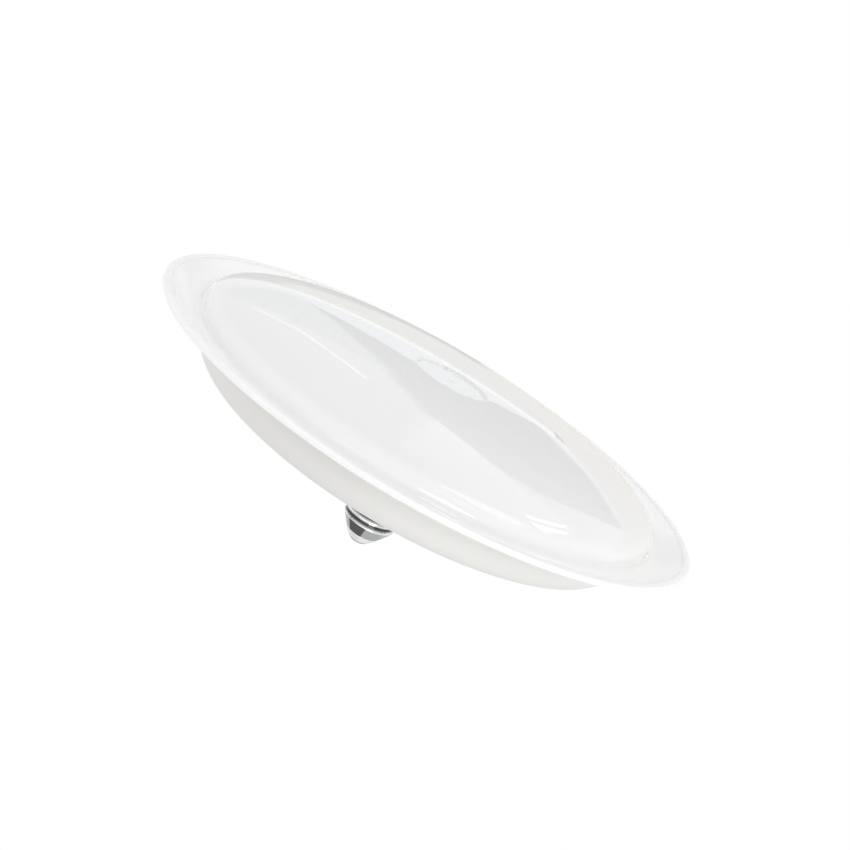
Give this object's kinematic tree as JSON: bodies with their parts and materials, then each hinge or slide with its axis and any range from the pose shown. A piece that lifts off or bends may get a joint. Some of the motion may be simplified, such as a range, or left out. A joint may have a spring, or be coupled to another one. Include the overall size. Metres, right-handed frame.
{
  "type": "saucer led bulb",
  "caption": "Saucer-shaped LED bulb with a domed opal diffuser, a wide dished brim, a shallow vented housing and an Edison screw cap.",
  "frame": {"origin": "centre of the flat ring round the dome's recess, at the middle of the bottom of the bounding box", "axes": "+Z along the lamp's axis, up through the screw cap, as the bulb hangs in a ceiling holder; the dome faces -Z"},
  "size_m": [0.266, 0.266, 0.091],
  "materials": {
    "opal_moulding": "glossy opal moulding",
    "housing_moulding": "satin white moulding",
    "pressed_aluminium": "satin pressed sheet",
    "board_face": "white solder mask on an aluminium core",
    "phosphor": "yellow phosphor under silicone",
    "plated_screw": "zinc plated",
    "terminal_plastic": "white moulding",
    "sleeve_plastic": "pale grey moulding",
    "laminate": "green laminate",
    "ferrite": "dull ferrite",
    "winding_tape": "yellow tape over copper wire",
    "capacitor_can": "shrunk black sleeve",
    "film_case": "glossy red case",
    "disc_coat": "blue dipped coat",
    "chip_epoxy": "black epoxy",
    "red_sleeve": "red insulation",
    "dark_sleeve": "black insulation",
    "bright_nickel": "bright nickel plate",
    "white_glaze": "glossy white glaze",
    "tinned_contact": "tinned contact"
  },
  "bodies": {
    "root": {"diffuser": "opal_moulding", "housing": "housing_moulding", "heat_dish": "pressed_aluminium", "led_board": "board_face", "led_packages": "phosphor", "board_screws": "plated_screw", "dish_screws": "plated_screw", "board_terminal": "terminal_plastic", "driver_sleeve": "sleeve_plastic", "driver_board": "laminate", "transformer_core": "ferrite", "transformer_winding": "winding_tape", "bulk_capacitor": "capacitor_can", "output_capacitor": "capacitor_can", "film_capacitor": "film_case", "varistor": "disc_coat", "drum_choke": "ferrite", "fuse_resistor": "film_case", "bridge_rectifier": "chip_epoxy", "driver_chip": "chip_epoxy", "chip_resistors": "chip_epoxy", "live_lead": "red_sleeve", "neutral_lead": "dark_sleeve", "positive_lead": "red_sleeve", "negative_lead": "dark_sleeve", "screw_shell": "bright_nickel", "shell_insulator": "white_glaze", "centre_contact": "tinned_contact"}
  },
  "joints": []
}
